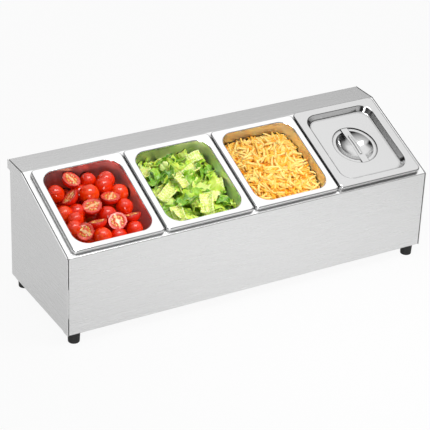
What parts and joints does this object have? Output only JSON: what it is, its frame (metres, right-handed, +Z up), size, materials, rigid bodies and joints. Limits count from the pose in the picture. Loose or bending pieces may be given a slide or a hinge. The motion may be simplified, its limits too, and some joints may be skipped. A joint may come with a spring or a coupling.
{
  "type": "ingredient container set",
  "caption": "Sheet steel counter stand with a sloping deck that holds a row of lift-out food pans, one of them under a lift-off lid with a strap handle.",
  "frame": {"origin": "centre of the stand's footprint, on the surface that its feet stand on", "axes": "+X to the right seen from the front, +Y from the front to the back, +Z up"},
  "size_m": [0.682, 0.2258, 0.2384],
  "materials": {
    "brushed_steel_sheet": "brushed satin",
    "galvanised_steel": "matt galvanised",
    "polished_steel_pan": "bright polished",
    "satin_steel_lid": "satin",
    "black_rubber": "matt",
    "zinc_fastener": "zinc plated"
  },
  "bodies": {
    "stand": {"body_shell": "brushed_steel_sheet", "left_end_panel": "brushed_steel_sheet", "right_end_panel": "brushed_steel_sheet", "rear_panel": "brushed_steel_sheet", "rear_rivets": "zinc_fastener", "divider_bar_1": "galvanised_steel", "divider_bar_2": "galvanised_steel", "divider_bar_3": "galvanised_steel", "corner_plate_front_left": "galvanised_steel", "corner_plate_front_right": "galvanised_steel", "corner_plate_rear_left": "galvanised_steel", "corner_plate_rear_right": "galvanised_steel", "foot_front_left": "black_rubber", "foot_front_right": "black_rubber", "foot_rear_left": "black_rubber", "foot_rear_right": "black_rubber", "foot_washers": "zinc_fastener", "foot_screws": "zinc_fastener", "foot_nuts": "zinc_fastener"},
    "pan_1": {"pan_1": "polished_steel_pan"},
    "pan_2": {"pan_2": "polished_steel_pan"},
    "pan_3": {"pan_3": "polished_steel_pan"},
    "pan_4": {"pan_4": "polished_steel_pan"},
    "lid": {"lid": "satin_steel_lid", "lid_handle": "satin_steel_lid"}
  },
  "joints": [
    {"name": "pan_1_lift", "type": "slide", "parent": "stand", "child": "pan_1", "axis": [0, -0.3827, 0.9239], "range_m": [0, 0.165]},
    {"name": "pan_2_lift", "type": "slide", "parent": "stand", "child": "pan_2", "axis": [0, -0.3827, 0.9239], "range_m": [0, 0.165]},
    {"name": "pan_3_lift", "type": "slide", "parent": "stand", "child": "pan_3", "axis": [0, -0.3827, 0.9239], "range_m": [0, 0.165]},
    {"name": "pan_4_lift", "type": "slide", "parent": "stand", "child": "pan_4", "axis": [0, -0.3827, 0.9239], "range_m": [0, 0.165]},
    {"name": "lid_lift", "type": "slide", "parent": "pan_4", "child": "lid", "axis": [0, -0.3827, 0.9239], "range_m": [0, 0.06]}
  ]
}
